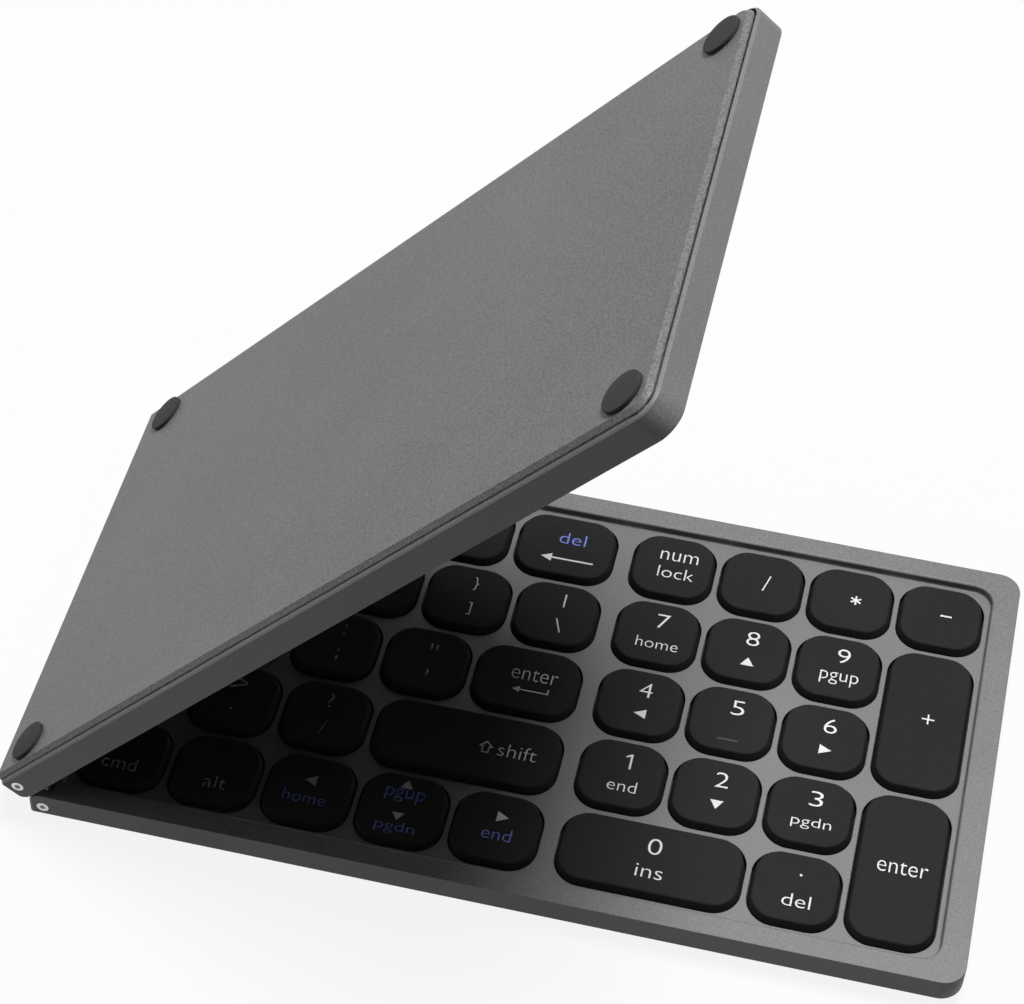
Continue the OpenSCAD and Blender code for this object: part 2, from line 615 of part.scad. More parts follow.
// letter block of the base
module key_backspace() color(PLASTIC) in_base() keycap(letter_key(4, 0));
module key_backslash() color(PLASTIC) in_base() keycap(letter_key(3, 0));
module key_enter() color(PLASTIC) in_base() keycap(letter_key(2, 0));
module key_shift() color(PLASTIC) in_base() keycap(letter_key(1, 0));
module key_right_end() color(PLASTIC) in_base() keycap(letter_key(0, 0));
module key_up_down() color(PLASTIC) in_base() keycap(letter_key(0, 1));
module key_left_home() color(PLASTIC) in_base() keycap(letter_key(0, 2));
module keys_digits_and_o_p() color(PLASTIC) in_base() keycaps(concat(letter_row(4, 1), letter_row(3, 1)));
module keys_k_to_quote() color(PLASTIC) in_base() keycaps(letter_row(2, 1));
module keys_comma_to_slash() color(PLASTIC) in_base() keycaps(letter_row(1, 1));
module keys_cmd_alt() color(PLASTIC) in_base() keycaps(letter_row(0, 3));

// lid keys, one node for each row
module lid_keys_bottom_row() color(PLASTIC) in_lid() keycaps(lid_row(0));
module lid_keys_shift_row() color(PLASTIC) in_lid() keycaps(lid_row(1));
module lid_keys_caps_row() color(PLASTIC) in_lid() keycaps(lid_row(2));
module lid_keys_tab_row() color(PLASTIC) in_lid() keycaps(lid_row(3));
module lid_keys_esc_row() color(PLASTIC) in_lid() keycaps(lid_row(4));

base_frame();
base_cover();
base_feet();
base_screws();
base_key_plate();
base_membrane();
base_domes();
base_scissors();
battery();
circuit_board();
charging_socket();
base_magnets();
flat_cable_base();
hinge_link();
hinge_pins();
friction_washers();
flat_cable_link();
lid_frame();
lid_cover();
lid_feet();
lid_screws();
lid_key_plate();
lid_membrane();
lid_domes();
lid_scissors();
lid_magnets();
flat_cable_lid();
key_num_lock();
key_divide();
key_multiply();
key_minus();
key_7();
key_8();
key_9();
key_plus();
key_4();
key_5();
key_6();
key_1();
key_2();
key_3();
key_pad_enter();
key_0();
key_point();
key_backspace();
key_backslash();
key_enter();
key_shift();
key_left_home();
key_up_down();
key_right_end();
keys_digits_and_o_p();
keys_k_to_quote();
keys_comma_to_slash();
keys_cmd_alt();
lid_keys_bottom_row();
lid_keys_shift_row();
lid_keys_caps_row();
lid_keys_tab_row();
lid_keys_esc_row();
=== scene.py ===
"""Looks of the folding keyboard: dark anodised metal halves, black keycaps with printed legends."""
import math

import bmesh
import bpy
from mathutils import Matrix, Vector
from mathutils.bvhtree import BVHTree


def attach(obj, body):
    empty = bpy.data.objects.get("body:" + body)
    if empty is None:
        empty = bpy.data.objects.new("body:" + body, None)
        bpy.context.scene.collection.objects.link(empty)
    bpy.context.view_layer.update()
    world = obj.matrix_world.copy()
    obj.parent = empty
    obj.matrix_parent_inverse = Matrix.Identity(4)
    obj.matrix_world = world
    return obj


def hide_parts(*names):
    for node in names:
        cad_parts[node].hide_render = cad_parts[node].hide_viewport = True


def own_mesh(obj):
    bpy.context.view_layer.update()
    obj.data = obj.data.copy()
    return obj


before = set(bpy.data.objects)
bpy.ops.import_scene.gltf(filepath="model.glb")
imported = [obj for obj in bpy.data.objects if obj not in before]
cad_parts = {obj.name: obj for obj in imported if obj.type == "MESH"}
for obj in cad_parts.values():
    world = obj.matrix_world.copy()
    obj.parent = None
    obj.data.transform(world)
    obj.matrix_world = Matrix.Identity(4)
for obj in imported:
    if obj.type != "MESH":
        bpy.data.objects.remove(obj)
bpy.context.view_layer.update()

# ---- sizes, in millimetres -----------------------------------------------------------------
# A half's own coordinates: the hinge pin runs along Y at the origin, x grows towards the free
# end, y from the front to the back, z from the pin axis towards the rim.
MM = 0.001
DEPTH = 100.0
HALF_LEN = 175.9
EARS_X, HINGE_X = 2.7, 3.0          # just short of the hinge's end, and just past it
RIM_Z = 3.35
DECK_TOP = 1.7
COVER_Z = -3.5
RIM_SIDE, RIM_END, RECESS_R = 4.5, 5.2, 4.0
RECESS_ROUND, BROKEN_EDGE = 0.45, 0.12
TOUCH = 0.02                        # how near an edge lies to be told as on a face

# the rest pose: the base's pin over the floor and from the middle of the box, the gap between the
# two pins, and how far the lid and the link are turned
PIN_HEIGHT = 4.3
BOX_MIDDLE = 83.4743
PIN_GAP = 6.8
LID_OPEN = math.radians(49)
LINK_TURN = math.radians(131.5)

# the keys, whose widths are counted in pitches, and where their rows and columns start
PITCH_X, PITCH_Y = 18.35, 17.89
KEY_W, KEY_D = 17.0, 16.54
KEY_GAP = PITCH_X - KEY_W
KEY_R = 5.4
KEY_LEAN = 0.65
KEY_TOP, KEY_SKIRT = 3.2, 0.45
KEY_WALL = 1.0
KEY_DISH, DISH_FLAT = 0.22, 1.0
ROW_0 = 5.95
FIRST_X, LAST_X = 3.35, 169.4
MAIN_X, PAD_X = 93.75, 97.35
BACKSPACE_U, ENTER_U, SHIFT_U, SPACE_U = 1.185, 1.226, 2.082, 5.1
INK_T, INK_SUNK = 0.02, 0.4
LETTER_OFFSET = -0.011

FOOT_R, FOOT_H, FOOT_ROLL = 4.1, 0.8, 0.2
FOOT_SIDE, FOOT_END, FOOT_HINGE = 6.3, 7.1, 5.25

# the camera: ahead, to the right and high above, with a long lens
LENS = 101.54
CAMERA_PLACE = Vector((61.470, -345.309, 457.392))
CAMERA_RIGHT = Vector((0.97488, 0.22081, 0.02921))
CAMERA_DOWN = Vector((0.18452, -0.72721, -0.66115))
CAMERA_AHEAD = Vector((-0.12474, 0.64993, -0.74969))

# each soft lamp: its place and aim in metres, its width and height, and its watts
LAMPS = {
    "top_lamp": ((0.1, 0.3, 1.5), (0, 0, 0.03), (0.5, 0.6), 23),
    "left_lamp": ((-1.6, -0.3, 0.8), (0, 0, 0.05), (1.0, 1.0), 3.7),
}
SKY_DIM = 0.008
PAPER_WHITE = 0.88
FLOOR_REACH, FLOOR_LOW = 6.0, 0.02 * MM


# ---- placing -------------------------------------------------------------------------------
def half_matrix(body):
    """Takes a half's own coordinates, in mm, to the row frame. The lid's x runs the other way,
    so that its keys read from left to right when the keyboard lies flat."""
    if body == "base":
        pin = Vector((-BOX_MIDDLE, -DEPTH / 2, PIN_HEIGHT))
        return Matrix.Translation(pin * MM) @ Matrix.Scale(MM, 4)
    along = Vector((math.cos(LID_OPEN), 0, math.sin(LID_OPEN)))
    up = Vector((math.sin(LID_OPEN), 0, -math.cos(LID_OPEN)))
    turn = Matrix((-along, Vector((0, 1, 0)), up)).transposed().to_4x4()
    pin = Vector((PIN_GAP * math.cos(LINK_TURN) - BOX_MIDDLE, -DEPTH / 2,
                  PIN_GAP * math.sin(LINK_TURN) + PIN_HEIGHT))
    return Matrix.Translation(pin * MM) @ turn @ Matrix.Scale(MM, 4)


def half_of(node):
    """The half that carries a key's node."""
    return "lid" if node.startswith("lid") else "base"


def side(body):
    """+1 where a half's x runs along its matrix's x, -1 where it runs the other way."""
    return 1 if body == "base" else -1


def put_in_scene(name, data):
    made = bpy.data.objects.new(name, data)
    bpy.context.scene.collection.objects.link(made)
    return made


# ---- nodes and materials -------------------------------------------------------------------
def put(tree, kind, inputs=None, **settings):
    """Adds one node with its settings; an input is a value, or a socket that is linked to it."""
    node = tree.nodes.new(kind)
    for name, value in settings.items():
        setattr(node, name, value)
    for name, value in (inputs or {}).items():
        if isinstance(value, bpy.types.NodeSocket):
            tree.links.new(value, node.inputs[name])
        else:
            node.inputs[name].default_value = value
    return node


def hexa(code):
    """An sRGB hex colour as linear RGBA."""
    channels = [int(code[i:i + 2], 16) / 255 for i in (1, 3, 5)]
    return [c / 12.92 if c <= 0.04045 else ((c + 0.055) / 1.055) ** 2.4 for c in channels] + [1]


def finish(name, dark, light, grain_mm, mottle_mm=30.0, bump_mm=0.02, rough=(0.4, 0.5),
           stretch=(1, 1, 1), slow=0.3, metallic=0.0, specular=0.5):
    """A surface that wavers between two close colours, with a fine grain in bump and roughness.
    grain_mm is the size of the grain and mottle_mm that of the slow change in colour, whose share
    in the colour is slow. stretch below 1 along an axis draws the grain out along it."""
    material = bpy.data.materials.new(name)
    material.use_nodes = True
    tree = material.node_tree
    tree.nodes.clear()
    place = put(tree, "ShaderNodeTexCoord")
    squeeze = put(tree, "ShaderNodeMapping", {"Vector": place.outputs["Object"], "Scale": stretch})
    grain = put(tree, "ShaderNodeTexNoise", {
        "Vector": squeeze.outputs[0], "Scale": 1 / (grain_mm * MM), "Detail": 2.0, "Roughness": 0.6})
    mottle = put(tree, "ShaderNodeTexNoise", {
        "Vector": place.outputs["Object"], "Scale": 1 / (mottle_mm * MM), "Detail": 3.0, "Roughness": 0.5})
    both = put(tree, "ShaderNodeMix", {0: slow, 2: grain.outputs[0], 3: mottle.outputs[0]})
    share = put(tree, "ShaderNodeMapRange", {
        "Value": both.outputs[0], "From Min": 0.35, "From Max": 0.65})
    colour = put(tree, "ShaderNodeMix", {"Factor": share.outputs[0]}, data_type="RGBA")
    colour.inputs[6].default_value = hexa(dark)
    colour.inputs[7].default_value = hexa(light)
    roughness = put(tree, "ShaderNodeMapRange", {
        "Value": grain.outputs[0], "From Min": 0.3, "From Max": 0.7,
        "To Min": rough[0], "To Max": rough[1]})
    relief = put(tree, "ShaderNodeBump", {
        "Height": grain.outputs[0], "Strength": 0.6, "Distance": bump_mm * MM})
    shader = put(tree, "ShaderNodeBsdfPrincipled", {
        "Base Color": colour.outputs[2], "Roughness": roughness.outputs[0], "Normal": relief.outputs[0],
        "Metallic": metallic, "Specular IOR Level": specular})
    put(tree, "ShaderNodeOutputMaterial", {"Surface": shader.outputs[0]})
    return material


# bead-blasted, dark anodised aluminium: a soft sheen with a fine even sparkle. The blast's grain
# is about 0.05 mm, drawn at 0.25 mm so that it shows.
ANODISED = finish("blasted_anodised_aluminium", "#6c6d6d", "#898a8a", 0.25, bump_mm=0.01,
                  rough=(0.42, 0.56), slow=0.15, metallic=0.1, specular=0.25)
# the same metal as pressed sheet, blasted a little coarser, drawn at 0.4 mm
SHEET = finish("blasted_anodised_sheet", "#595a5a", "#868687", 0.4, bump_mm=0.012,
               rough=(0.42, 0.56), slow=0.1, metallic=0.1, specular=0.25)
# the same metal, extruded: drawn lines along the hinge
EXTRUDED = finish("extruded_anodised_aluminium", "#565658", "#6a6a6c", 0.3, bump_mm=0.01,
                  rough=(0.35, 0.5), stretch=(1, 0.05, 1), metallic=0.4)
# moulded ABS, spark-eroded: matt black with a broad dim sheen. Its texture is about 0.1 mm, drawn
# at 0.4 mm so that it shows.
KEY_ABS = finish("textured_black_abs", "#262627", "#313132", 0.4, bump_mm=0.008,
                 rough=(0.64, 0.76), specular=0.07)
# pad-printed ink: flat and slightly chalky
WHITE_INK = finish("pad_printed_white_ink", "#f2f2f2", "#fbfbfb", 0.5, bump_mm=0.002, rough=(0.55, 0.65))
BLUE_INK = finish("pad_printed_blue_ink", "#7b8df0", "#8496f8", 0.5, bump_mm=0.002, rough=(0.55, 0.65))
# the same ink in black, over the raised bar that a finger feels for: a little glossier
DARK_INK = finish("raised_black_mark", "#0c0c0d", "#121213", 0.5, bump_mm=0.002, rough=(0.4, 0.5))
# compression-moulded silicone rubber: dull, slightly dusty
RUBBER = finish("moulded_silicone_rubber", "#353637", "#424344", 0.5, bump_mm=0.02,
                rough=(0.65, 0.8), specular=0.12)
# turned stainless steel, polished by the hinge's turning: fine rings round the pin
STEEL = finish("turned_stainless_steel", "#b4b5b8", "#d2d3d5", 0.15, bump_mm=0.004,
               rough=(0.14, 0.24), stretch=(0.1, 1, 0.1), metallic=1.0)
# zinc-plated screw steel: brighter, with a faint bloom
ZINC = finish("zinc_plated_steel", "#a7a9ac", "#c3c5c8", 0.3, bump_mm=0.006,
              rough=(0.28, 0.4), metallic=1.0)
# cold-rolled spring steel sheet: rolled lines along the keyboard
PLATE_STEEL = finish("rolled_spring_steel", "#96989b", "#a9abae", 0.25, bump_mm=0.005,
                     rough=(0.3, 0.42), stretch=(0.05, 1, 1), metallic=1.0)
# polyester film, printed black over the silver ink tracks between its layers: flat, a little glossy. Its
# dark colour is partly painted shade, so that the gaps under the keycaps read as black.
FILM_AND_GAP_SHADE = finish("black_film_and_painted_gap_shade", "#1b1b1d", "#242426", 0.6, bump_mm=0.004, rough=(0.35, 0.45))
# moulded silicone: milky and soft-edged
SILICONE = finish("milky_silicone_dome", "#d4d0c8", "#e2dfd8", 0.4, bump_mm=0.01, rough=(0.5, 0.6))
# moulded acetal: clean white with a waxy shine
ACETAL = finish("moulded_white_acetal", "#dededa", "#ebebe8", 0.4, bump_mm=0.006, rough=(0.35, 0.45))
# aluminium foil laminated with nylon: a crinkled, silvery pouch
FOIL = finish("laminated_foil_pouch", "#888d92", "#9aa0a6", 1.2, bump_mm=0.05,
              rough=(0.25, 0.4), metallic=0.8)
# glass-fibre board under solder mask: smooth green, with the weave just showing
BOARD = finish("solder_masked_board", "#17482f", "#1f5a3b", 0.5, bump_mm=0.01, rough=(0.25, 0.35))
# nickel plate on sintered magnets: bright and slightly warm
NICKEL = finish("nickel_plated_magnet", "#a5a7ab", "#b9bbbf", 0.2, bump_mm=0.003,
                rough=(0.15, 0.25), metallic=1.0)
# polyimide film over copper: amber and glossy
POLYIMIDE = finish("copper_polyimide_film", "#a85c22", "#bf702c", 0.4, bump_mm=0.003, rough=(0.2, 0.3))

# the membranes' dark film is partly the film's own black and partly painted shade under the keycaps
WEARS = {
    "base_screws": ZINC, "lid_screws": ZINC, "base_key_plate": PLATE_STEEL, "lid_key_plate": PLATE_STEEL,
    "base_membrane": FILM_AND_GAP_SHADE, "lid_membrane": FILM_AND_GAP_SHADE, "battery": FOIL, "circuit_board": BOARD,
    "charging_socket": ZINC, "base_magnets": NICKEL, "lid_magnets": NICKEL,
    "flat_cable_base": POLYIMIDE, "flat_cable_link": POLYIMIDE, "flat_cable_lid": POLYIMIDE,
}
for node, material in WEARS.items():
    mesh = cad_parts[node].data
    mesh.materials.clear()
    mesh.materials.append(material)


# ---- pieces --------------------------------------------------------------------------------
def piece(name, mesh, body, material_slot, *nodes):
    """Puts a finished mesh in the scene, riding on a body and standing for CAD nodes."""
    made = put_in_scene(name, mesh)
    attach(made, body)
    if nodes:
        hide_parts(*nodes)
    return made


def baked(made, name):
    """The object's mesh with its modifiers applied; the object itself is dropped."""
    graph = bpy.context.evaluated_depsgraph_get()
    mesh = bpy.data.meshes.new_from_object(made.evaluated_get(graph))
    mesh.name = name
    bpy.data.objects.remove(made)
    return mesh


def softened(node, body, material, material_slot, width_mm, segments=2, angle=35, widths=None):
    """The CAD node's shape with its sharp edges rolled over, as tumbling and blasting leave them.
    widths, where it is given, tells an edge's own width in mm from its two ends."""
    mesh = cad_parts[node].data.copy()
    work = bmesh.new()
    work.from_mesh(mesh)
    bmesh.ops.remove_doubles(work, verts=work.verts, dist=1e-6)
    bmesh.ops.dissolve_limit(work, angle_limit=math.radians(0.5), verts=work.verts, edges=work.edges)
    if widths:
        share = work.edges.layers.float.new("bevel_weight_edge")
        home = half_matrix(body).inverted()
        for edge in work.edges:
            if edge.is_manifold and edge.calc_face_angle() > math.radians(angle):
                edge[share] = widths(*(home @ v.co for v in edge.verts)) / width_mm
    work.to_mesh(mesh)
    work.free()
    mesh.materials.clear()
    mesh.materials.append(material)
    made = put_in_scene(node + "_edges", mesh)
    roll = made.modifiers.new("rolled edges", "BEVEL")
    roll.width = width_mm * MM
    roll.segments = segments
    roll.limit_method = "WEIGHT" if widths else "ANGLE"
    roll.angle_limit = math.radians(angle)
    roll.harden_normals = True
    roll.use_clamp_overlap = not widths
    mesh = baked(made, node + "_soft")
    return piece(node + "_soft", mesh, body, material_slot, node)


def on_recess_wall(point):
    """Whether a point lies on the upright wall of the key recess, seen from above."""
    dx = abs(point.x) - (HALF_LEN - RIM_END - RECESS_R)
    dy = min(point.y, DEPTH - point.y) - (RIM_SIDE + RECESS_R)
    if dx > 0 > dy:
        return abs(math.hypot(dx, dy) - RECESS_R) < TOUCH
    return abs(dx - RECESS_R) < TOUCH or abs(dy + RECESS_R) < TOUCH


def frame_edge(a, b):
    """A frame's edges: the recess's upper and lower edges are milled with a round cutter, and
    the others are only broken. So are those that reach the ears or lie along the hinge's end."""
    near, far = sorted((abs(a.x), abs(b.x)))
    if near < EARS_X or far < HINGE_X:
        return BROKEN_EDGE
    for level in (RIM_Z, DECK_TOP):
        if all(abs(end.z - level) < TOUCH and on_recess_wall(end) for end in (a, b)):
            return RECESS_ROUND
    return BROKEN_EDGE


for body in ("base", "lid"):
    softened(body + "_frame", body, ANODISED, "case_metal", RECESS_ROUND, 3, widths=frame_edge)
    softened(body + "_cover", body, SHEET, "case_metal", 0.18)
softened("hinge_link", "link", EXTRUDED, "hinge_metal", 0.1)
softened("hinge_pins", "link", STEEL, "steel", 0.06)
softened("friction_washers", "link", STEEL, "steel", 0.05)


# ---- what repeats, set out by Geometry Nodes -----------------------------------------------
def setting_out_tree():
    """Puts one pattern piece on every point, and draws it out by each point's own stretch: the
    pattern's points move by their side (-1, 0 or 1 along x and y) times the stretch."""
    tree = bpy.data.node_groups.new("set_out_and_stretch", "GeometryNodeTree")
    face = tree.interface
    face.new_socket("Geometry", in_out="OUTPUT", socket_type="NodeSocketGeometry")
    face.new_socket("Places", in_out="INPUT", socket_type="NodeSocketGeometry")
    face.new_socket("Pattern", in_out="INPUT", socket_type="NodeSocketObject")
    face.new_socket("Finish", in_out="INPUT", socket_type="NodeSocketMaterial")
    given = put(tree, "NodeGroupInput")
    pattern = put(tree, "GeometryNodeObjectInfo", {"Object": given.outputs["Pattern"]})
    copies = put(tree, "GeometryNodeInstanceOnPoints", {
        "Points": given.outputs["Places"], "Instance": pattern.outputs["Geometry"]})
    real = put(tree, "GeometryNodeRealizeInstances", {"Geometry": copies.outputs[0]})
    sides = put(tree, "GeometryNodeInputNamedAttribute", {"Name": "side"}, data_type="FLOAT_VECTOR")
    reach = put(tree, "GeometryNodeInputNamedAttribute", {"Name": "stretch"}, data_type="FLOAT_VECTOR")
    move = put(tree, "ShaderNodeVectorMath", {0: sides.outputs[0], 1: reach.outputs[0]},
               operation="MULTIPLY")
    drawn = put(tree, "GeometryNodeSetPosition", {"Geometry": real.outputs[0], "Offset": move.outputs[0]})
    dressed = put(tree, "GeometryNodeSetMaterial", {
        "Geometry": drawn.outputs[0], "Material": given.outputs["Finish"]})
    put(tree, "NodeGroupOutput", {"Geometry": dressed.outputs[0]})
    return tree


SET_OUT = setting_out_tree()


def sides_of(mesh):
    """Marks on which side of the pattern's middle each of its points lies."""
    marks = mesh.attributes.new("side", "FLOAT_VECTOR", "POINT")
    for vertex, mark in zip(mesh.vertices, marks.data):
        mark.vector = [0 if abs(c) < 1e-6 else math.copysign(1, c) for c in vertex.co.xy] + [0]


def set_out(name, pattern, places, material, matrix):
    """A mesh of the pattern at every place, (x, y, z, stretch x, stretch y) in mm, in the row frame."""
    points = bpy.data.meshes.new(name + "_places")
    points.from_pydata([p[:3] for p in places], [], [])
    reach = points.attributes.new("stretch", "FLOAT_VECTOR", "POINT")
    for mark, p in zip(reach.data, places):
        mark.vector = (p[3], p[4], 0)
    made = put_in_scene(name + "_places", points)
    nodes = made.modifiers.new("set out", "NODES")
    nodes.node_group = SET_OUT
    socket = {item.name: item.identifier for item in SET_OUT.interface.items_tree
              if item.in_out == "INPUT"}
    nodes[socket["Pattern"]] = pattern
    nodes[socket["Finish"]] = material
    mesh = baked(made, name)
    for attribute in ("side", "stretch"):
        mesh.attributes.remove(mesh.attributes[attribute])
    mesh.transform(matrix)
    return mesh


def ring_of(half_w, half_d, radius, z, steps=8):
    """Points round a rounded rectangle, counter-clockwise seen from above."""
    points = []
    for corner, (sx, sy) in enumerate(((1, -1), (1, 1), (-1, 1), (-1, -1))):
        for step in range(steps + 1):
            turn = math.radians(corner * 90 - 90 + 90 * step / steps)
            points.append((sx * (half_w - radius) + radius * math.cos(turn),
                           sy * (half_d - radius) + radius * math.sin(turn), z))
    return points


def skin(rings):
    """A closed skin over rings of points, capped at its first and last ring."""
    count = len(rings[0])
    points = [p for ring in rings for p in ring]
    faces = [tuple(range(count)), tuple(reversed(range(len(points) - count, len(points))))]
    for k in range(len(rings) - 1):
        for i in range(count):
            a, b = k * count + i, k * count + (i + 1) % count
            faces.append((a, a + count, b + count, b))
    mesh = bpy.data.meshes.new("skin")
    mesh.from_pydata(points, [], faces)
    return mesh


# A keycap's section below its dish: how far in from its foot, and how far below its top or above
# its skirt.
SHOULDER = ((0.3, 0.01), (0.14, 0.05), (0.04, 0.14), (-0.03, 0.3))
SKIRT = ((0.12, 0.45), (0.03, 0.12), (0.08, 0.02), (0.2, 0.0))


def keycap_mesh():
    """One keycap, one pitch wide: a dished top, a rolled shoulder, leaning sides and a hollow inside."""
    rings = []
    middle, edge = KEY_D / 2 - KEY_LEAN - DISH_FLAT, 0.5
    for inset in (middle - 0.4, middle - 1.6, middle - 3.0, 3.0, 1.9, 1.2, edge):
        away = (middle - inset) / (middle - edge)
        rings.append((KEY_LEAN + inset, KEY_TOP - KEY_DISH * (1 - away ** 2)))
    rings += [(KEY_LEAN + inset, KEY_TOP - drop) for inset, drop in SHOULDER]
    rings += [(inset, KEY_SKIRT + rise) for inset, rise in SKIRT]
    rings += [(KEY_WALL, KEY_SKIRT), (KEY_WALL + KEY_LEAN * 0.6, KEY_TOP - KEY_WALL)]
    mesh = skin([ring_of(KEY_W / 2 - inset, KEY_D / 2 - inset, max(KEY_R - inset, 0.35), z)
                 for inset, z in rings])
    mesh.shade_smooth()
    sides_of(mesh)
    return mesh


def foot_mesh(steps=40):
    """A round moulded foot with a rolled edge, its flat side on the cover."""
    middle = 0.4
    profile = [(middle, 0.0), (FOOT_R - FOOT_ROLL, 0.0), (FOOT_R - 0.08, -0.02), (FOOT_R - 0.02, -0.08),
               (FOOT_R, -FOOT_ROLL), (FOOT_R, -FOOT_H + 0.06), (FOOT_R - 0.08, -FOOT_H), (middle, -FOOT_H)]
    turns = [math.tau * step / steps for step in range(steps)]
    mesh = skin([[(r * math.cos(turn), r * math.sin(turn), COVER_Z - FOOT_H - z) for turn in turns]
                 for r, z in profile])
    mesh.flip_normals()
    mesh.shade_smooth()
    sides_of(mesh)
    return mesh


KEYCAP = bpy.data.objects.new("keycap_pattern", keycap_mesh())
FOOT = bpy.data.objects.new("foot_pattern", foot_mesh())

for body in ("base", "lid"):
    spots = [(side(body) * x, y, 0, 0, 0) for x in (FOOT_HINGE, HALF_LEN - FOOT_END)
             for y in (FOOT_SIDE, DEPTH - FOOT_SIDE)]
    mesh = set_out(body + "_feet_soft", FOOT, spots, RUBBER, half_matrix(body))
    piece(body + "_feet_soft", mesh, body, "foot_rubber", body + "_feet")


# ---- keys ----------------------------------------------------------------------------------
# A key is (x, y, width, depth) of its foot, in mm, with x and y at its corner by the hinge and
# the front.
def row_y(row):
    return ROW_0 + row * PITCH_Y


def pad_key(column, row, wide=1, deep=1):
    return (PAD_X + column * PITCH_X, row_y(row), wide * PITCH_X - KEY_GAP, deep * PITCH_Y - KEY_GAP)


def letter_row(row, widths):
    """The base's letter keys of a row, from the number pad to the hinge; the last one fills the row."""
    keys, right = [], MAIN_X
    for width in widths:
        keys.append((right - width * PITCH_X + KEY_GAP, row_y(row), width * PITCH_X - KEY_GAP, KEY_D))
        right -= width * PITCH_X
    return keys + [(FIRST_X, row_y(row), right - FIRST_X, KEY_D)]


def lid_row(row, widths):
    """The lid's keys of a row, from the hinge to the free end; the last one fills the row."""
    keys, left = [], FIRST_X
    for width in widths:
        keys.append((left, row_y(row), width * PITCH_X - KEY_GAP, KEY_D))
        left += width * PITCH_X
    return keys + [(left, row_y(row), LAST_X - left, KEY_D)]


# A legend is (what it says, x and y from the key's middle, width, height, ink), in mm. Without a
# width, its letters keep their own.
DIGIT_Y, WORD_Y = 3.2, -2.7
UPPER_Y, LOWER_Y = 3.6, -2.9


def word(mark, wide, dx=0.6, dy=0.0, tall=2.9, ink=WHITE_INK):
    """A single legend, in a list."""
    return [(mark, dx, dy, wide, tall, ink)]


def digit(mark, under=None, wide=None, tall=2.7):
    """A digit, and the word or arrow under it, if it has one."""
    marks = word(mark, 1.3 if mark == "one" else 2.6, 0.8, DIGIT_Y, 3.5)
    return marks + word(under, wide, 0.6, WORD_Y, tall) if under else marks


# the height of a paired mark, and of those that are lower
MARK_TALL = 3.3
LOW_MARKS = {"\"": 1.5, "'": 1.6, ":": 2.5, ";": 3.0, "=": 1.5, "+": 2.4, "minus": 0.4, "dot": 0.55,
             ",": 1.2, "_": 0.3, "star": 2.3, "^": 1.4}


def pair(upper, lower, dx=0.9):
    """The two marks of a key, one above the other."""
    return [legend for mark, dy in ((upper, UPPER_Y), (lower, LOWER_Y))
            for legend in word(mark, None, dx, dy, LOW_MARKS.get(mark, MARK_TALL))]


def letter(mark):
    return word(mark, None, 0.6, 0.6, 3.6)


def letters_of(keys, marks):
    return [(key, letter(mark)) for key, mark in zip(keys, marks)]


BACK = letter_row(4, [BACKSPACE_U, 1, 1, 1])
TAB = letter_row(3, [1, 1, 1, 1])
HOME = letter_row(2, [ENTER_U, 1, 1, 1])
SHIFT = letter_row(1, [SHIFT_U, 1, 1])
FRONT = letter_row(0, [1, 1, 1, 1])
LID = [lid_row(0, [SPACE_U, 1, 1, 1]), lid_row(1, [1] * 7), lid_row(2, [1] * 7), lid_row(3, [1] * 8),
       lid_row(4, [1] * 8)]

